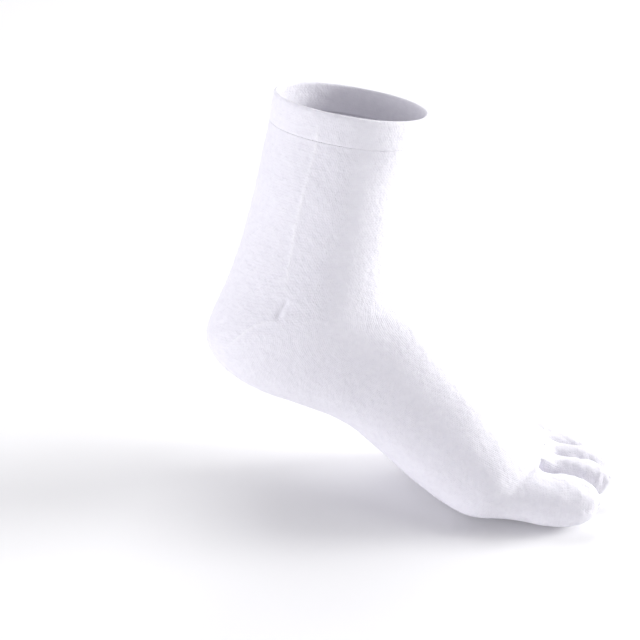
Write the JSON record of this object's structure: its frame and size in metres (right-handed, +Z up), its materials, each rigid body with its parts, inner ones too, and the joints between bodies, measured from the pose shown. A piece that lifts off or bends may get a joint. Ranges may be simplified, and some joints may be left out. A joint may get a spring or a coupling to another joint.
{
  "type": "toe sock",
  "caption": "Ankle-high knitted sock with a separate pocket for each toe, in its worn form with the heel lifted and the leg opening clear.",
  "frame": {"origin": "middle of the leg opening, where a leg holds the sock", "axes": "+X from heel to toes, +Y towards the little toe, +Z up, with the toes flat on a level floor below and the heel lifted"},
  "size_m": [0.2316, 0.0945, 0.2303],
  "materials": {
    "welt_knit": "soft double-layer knit",
    "plain_knit": "fine matte cotton knit"
  },
  "bodies": {
    "root": {"cuff_welt": "welt_knit", "leg_tube": "plain_knit", "heel_pocket": "plain_knit", "foot_tube": "plain_knit", "forefoot_tube": "plain_knit", "big_toe": "plain_knit", "second_toe": "plain_knit", "third_toe": "plain_knit", "fourth_toe": "plain_knit", "little_toe": "plain_knit"}
  },
  "joints": []
}
